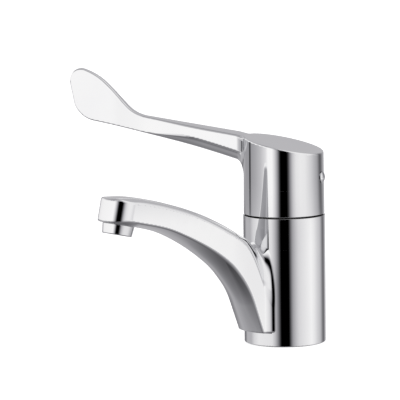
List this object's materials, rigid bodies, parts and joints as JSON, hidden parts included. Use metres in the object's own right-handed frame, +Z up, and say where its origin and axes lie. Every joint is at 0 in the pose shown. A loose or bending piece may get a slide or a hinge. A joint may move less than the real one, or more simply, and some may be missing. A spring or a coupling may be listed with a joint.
{
  "type": "elbow lever basin tap",
  "caption": "Chrome single lever basin tap: round body with a curved flat-sided spout, and a cap with a long blade lever that ends in an elbow paddle.",
  "frame": {"origin": "on the body's axis at the underside of the base, at the mouth of the fixing stud's thread", "axes": "+Z up along the body's axis, -Y along the spout, +X on the right of a user who stands in front of the spout and faces the tap"},
  "size_m": [0.1467, 0.1658, 0.1657],
  "materials": {
    "chrome": "polished",
    "brass": "machined",
    "steel": "ground",
    "rubber": "matt",
    "ceramic": "lapped",
    "acetal": "matt",
    "red_plastic": "matt",
    "grey_plastic": "matt",
    "green_plastic": "matt"
  },
  "bodies": {
    "tap_body": {"body_casting": "chrome", "base_seal": "rubber", "port_seals": "rubber", "cartridge_base": "acetal", "fixed_disc": "ceramic", "cartridge_housing": "acetal", "housing_seal": "rubber", "retaining_nut": "brass", "stop_ring": "red_plastic", "shroud": "chrome", "carrier_washer": "grey_plastic", "aerator_housing": "chrome", "aerator_seal": "rubber", "aerator_insert": "grey_plastic", "aerator_regulator": "green_plastic", "aerator_screen": "steel"},
    "swivel": {"stem_carrier": "acetal", "pivot_pin": "steel"},
    "disc": {"moving_disc": "ceramic", "disc_carrier": "acetal"},
    "lever": {"lever_handle": "chrome", "stem": "brass", "clamp_screw": "steel", "screw_cover": "chrome"}
  },
  "joints": [
    {"name": "lever_swivel", "type": "hinge", "parent": "tap_body", "child": "swivel", "pos_m": [0, 0, 0.0886], "axis": [0, 0, 1], "range_deg": [0, 120]},
    {"name": "lever_lift", "type": "hinge", "parent": "swivel", "child": "lever", "pos_m": [0, 0, 0.0886], "axis": [-0.5, 0.866, 0], "range_deg": [0, 20]},
    {"name": "disc_slide", "type": "slide", "parent": "swivel", "child": "disc", "axis": [-0.866, -0.5, 0], "range_m": [0, 0.00517]}
  ],
  "couplings": [
    {"joint": "disc_slide", "follows": "lever_lift", "m_per_rad": 0.0148}
  ]
}
